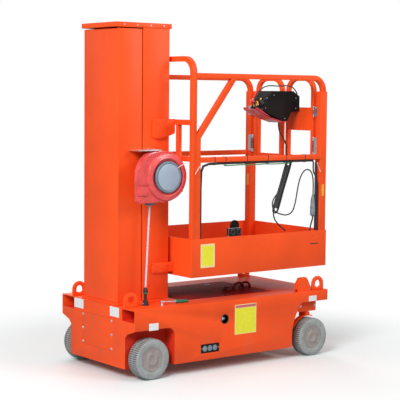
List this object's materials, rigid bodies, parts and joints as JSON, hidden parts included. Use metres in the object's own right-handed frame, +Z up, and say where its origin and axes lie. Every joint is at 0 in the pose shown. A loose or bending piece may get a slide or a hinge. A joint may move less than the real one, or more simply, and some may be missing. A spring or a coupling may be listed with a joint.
{
  "type": "vertical mast lift",
  "caption": "Self-propelled vertical mast lift with an orange telescoping mast, a caged platform with two gate leaves and a control box, and four small wheels",
  "frame": {"origin": "middle of the footprint, on the ground", "axes": "+X to the gate end, +Y to the left seen from the mast, +Z up"},
  "size_m": [1.436, 0.76, 1.983],
  "materials": {
    "orange_paint": "satin",
    "dark_paint": "satin",
    "tyre_grey": "matte",
    "hub_grey": "satin",
    "bare_steel": "satin",
    "black_plastic": "matte",
    "pink_plastic": "satin",
    "red_plastic": "gloss",
    "cable_rubber": "matte",
    "battery_case": "matte",
    "ballast_iron": "matte"
  },
  "bodies": {
    "chassis": {"chassis_shell": "orange_paint", "chassis_sides": "orange_paint", "chassis_deck": "orange_paint", "fork_pockets": "orange_paint", "deck_cover": "dark_paint", "rear_access_panel": "orange_paint", "lifting_eyes": "orange_paint", "socket_panel": "black_plastic", "battery_pack": "battery_case", "ballast_block": "ballast_iron", "pump_lever": "bare_steel", "deck_fittings": "dark_paint", "steer_carrier": "orange_paint", "drive_stubs": "bare_steel", "mast_foot": "orange_paint", "mast_base": "orange_paint", "cable_fitting": "black_plastic", "reel_cable": "cable_rubber"},
    "stage_1": {"mast_stage_1": "orange_paint"},
    "stage_2": {"mast_stage_2": "orange_paint"},
    "stage_3": {"mast_stage_3": "orange_paint"},
    "platform": {"mast_top_stage": "orange_paint", "mast_cap": "orange_paint", "carriage_arms": "orange_paint", "platform_floor": "orange_paint", "floor_bearers": "orange_paint", "toe_boards": "orange_paint", "rear_guard": "orange_paint", "guardrail_right": "orange_paint", "guardrail_left": "orange_paint", "front_posts": "orange_paint", "gate_hinges_fixed": "bare_steel", "rail_harness": "cable_rubber", "control_cable": "cable_rubber", "cable_hank": "cable_rubber", "cable_connector": "black_plastic", "power_outlet": "black_plastic", "reel_housing": "pink_plastic", "reel_face": "bare_steel", "reel_bracket": "bare_steel"},
    "gate_right": {"gate_leaf_right": "orange_paint", "control_box": "black_plastic", "emergency_stop": "red_plastic", "joystick": "black_plastic", "box_guard": "pink_plastic", "box_lead": "cable_rubber"},
    "gate_left": {"gate_leaf_left": "orange_paint"},
    "knuckle_right_body": {"knuckle_right": "orange_paint"},
    "knuckle_left_body": {"knuckle_left": "orange_paint"},
    "tie_rod_body": {"tie_rod": "bare_steel"},
    "wheel_rear_right": {"tyre_rear_right": "tyre_grey", "hub_rear_right": "hub_grey"},
    "wheel_rear_left": {"tyre_rear_left": "tyre_grey", "hub_rear_left": "hub_grey"},
    "wheel_front_right": {"tyre_front_right": "tyre_grey", "hub_front_right": "hub_grey"},
    "wheel_front_left": {"tyre_front_left": "tyre_grey", "hub_front_left": "hub_grey"}
  },
  "joints": [
    {"name": "mast_slide_1", "type": "slide", "parent": "chassis", "child": "stage_1", "axis": [0, 0, 1], "range_m": [0, 1.225], "deforming": ["reel_cable"]},
    {"name": "mast_slide_2", "type": "slide", "parent": "stage_1", "child": "stage_2", "axis": [0, 0, 1], "range_m": [0, 1.225]},
    {"name": "mast_slide_3", "type": "slide", "parent": "stage_2", "child": "stage_3", "axis": [0, 0, 1], "range_m": [0, 1.225]},
    {"name": "mast_slide_4", "type": "slide", "parent": "stage_3", "child": "platform", "axis": [0, 0, 1], "range_m": [0, 1.225]},
    {"name": "gate_right_hinge", "type": "hinge", "parent": "platform", "child": "gate_right", "pos_m": [0.6615, -0.293, 1.35], "axis": [0, 0, 1], "range_deg": [0, 35], "stiffness_Nm_per_rad": 4},
    {"name": "gate_left_hinge", "type": "hinge", "parent": "platform", "child": "gate_left", "pos_m": [0.6615, 0.293, 1.35], "axis": [0, 0, -1], "range_deg": [0, 90], "stiffness_Nm_per_rad": 3},
    {"name": "steer_left", "type": "hinge", "parent": "chassis", "child": "knuckle_left_body", "pos_m": [0.601, 0.278, 0.29], "axis": [0, 0, 1], "range_deg": [-60, 60]},
    {"name": "steer_right", "type": "hinge", "parent": "chassis", "child": "knuckle_right_body", "pos_m": [0.601, -0.278, 0.29], "axis": [0, 0, 1], "range_deg": [-60, 60]},
    {"name": "tie_rod_pivot", "type": "hinge", "parent": "knuckle_left_body", "child": "tie_rod_body", "pos_m": [0.521, 0.278, 0.196], "axis": [0, 0, 1], "range_deg": [-60, 60]},
    {"name": "spin_rear_right", "type": "hinge", "parent": "chassis", "child": "wheel_rear_right", "pos_m": [-0.596, -0.34, 0.115], "axis": [0, 1, 0], "continuous": true},
    {"name": "spin_rear_left", "type": "hinge", "parent": "chassis", "child": "wheel_rear_left", "pos_m": [-0.596, 0.34, 0.115], "axis": [0, 1, 0], "continuous": true},
    {"name": "spin_front_right", "type": "hinge", "parent": "knuckle_right_body", "child": "wheel_front_right", "pos_m": [0.601, -0.34, 0.115], "axis": [0, 1, 0], "continuous": true},
    {"name": "spin_front_left", "type": "hinge", "parent": "knuckle_left_body", "child": "wheel_front_left", "pos_m": [0.601, 0.34, 0.115], "axis": [0, 1, 0], "continuous": true}
  ],
  "couplings": [
    {"joint": "mast_slide_2", "follows": "mast_slide_1", "ratio": 1},
    {"joint": "mast_slide_3", "follows": "mast_slide_1", "ratio": 1},
    {"joint": "mast_slide_4", "follows": "mast_slide_1", "ratio": 1},
    {"joint": "steer_right", "follows": "steer_left", "ratio": 1},
    {"joint": "tie_rod_pivot", "follows": "steer_left", "ratio": -1}
  ]
}
